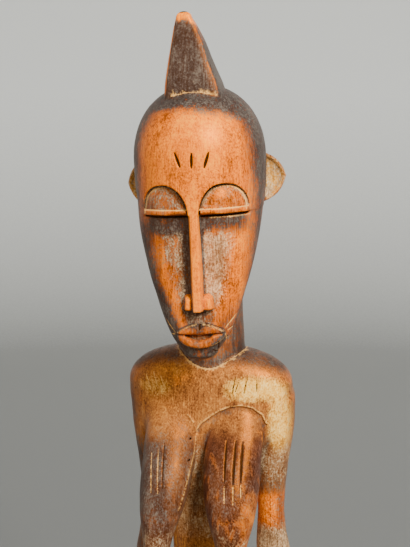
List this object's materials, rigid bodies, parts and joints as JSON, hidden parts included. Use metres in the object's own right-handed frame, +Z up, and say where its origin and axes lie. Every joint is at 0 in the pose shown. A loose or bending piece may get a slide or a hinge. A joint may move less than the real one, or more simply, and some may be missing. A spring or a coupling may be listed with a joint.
{
  "type": "standing female deble figure",
  "caption": "Carved wooden female figure with a pointed crest, long face, free-hanging arms and a low round base, to stand on a flat surface.",
  "frame": {"origin": "middle of the base's flat underside", "axes": "+Z up through the figure; the figure looks along -Y, and its own left is +X"},
  "size_m": [0.2, 0.2098, 0.9796],
  "materials": {
    "wood": "hand-rubbed hardwood with a dark patina in the hollows"
  },
  "bodies": {
    "root": {"figure": "wood"}
  },
  "joints": []
}
